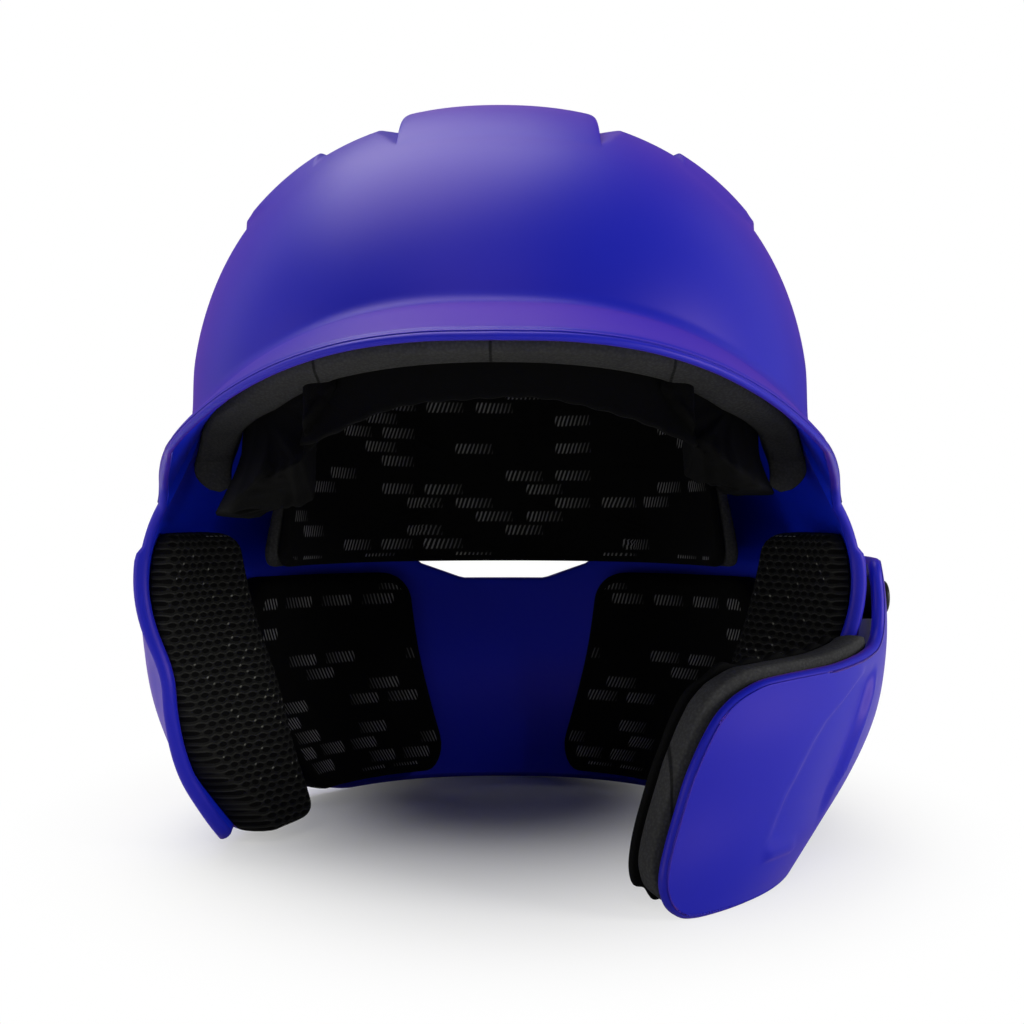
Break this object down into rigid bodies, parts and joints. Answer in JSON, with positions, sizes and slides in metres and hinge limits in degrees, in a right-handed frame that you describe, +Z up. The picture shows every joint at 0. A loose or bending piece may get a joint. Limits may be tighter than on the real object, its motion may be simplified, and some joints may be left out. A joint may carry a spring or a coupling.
{
  "type": "batting helmet",
  "caption": "Hard moulded batting helmet with a brim, flaps over both ears, fitted foam pads and a bolted jaw guard on the wearer's left.",
  "frame": {"origin": "in the middle plane of the helmet, below the ears, on the plane that the rim stands on", "axes": "+Z up, front of the helmet toward -Y, wearer's left toward +X"},
  "size_m": [0.2444, 0.29, 0.2421],
  "materials": {
    "shell": "satin royal blue ABS",
    "guard": "satin royal blue moulding",
    "eva": "grey closed cell foam",
    "liner": "black brushed fabric",
    "knit": "black knit with short grey strokes",
    "mesh": "black spacer mesh",
    "screw": "black",
    "spacer": "black",
    "nut": "zinc plated"
  },
  "bodies": {
    "root": {"shell": "shell", "jaw_guard": "guard", "guard_foam": "eva", "guard_liner": "liner", "guard_screws": "screw", "guard_spacers": "spacer", "guard_nuts": "nut", "brow_foam": "eva", "brow_liner": "liner", "temple_pad_left": "liner", "temple_pad_right": "liner", "crown_pad_centre": "eva", "crown_pad_left": "eva", "crown_pad_right": "eva", "rear_pad_core": "eva", "rear_pad_cover": "knit", "ear_pad_left_cover": "mesh", "ear_pad_left_core": "eva", "ear_pad_right_cover": "mesh", "ear_pad_right_core": "eva", "nape_pad_left_cover": "knit", "nape_pad_left_core": "eva", "nape_pad_right_cover": "knit", "nape_pad_right_core": "eva"}
  },
  "joints": []
}
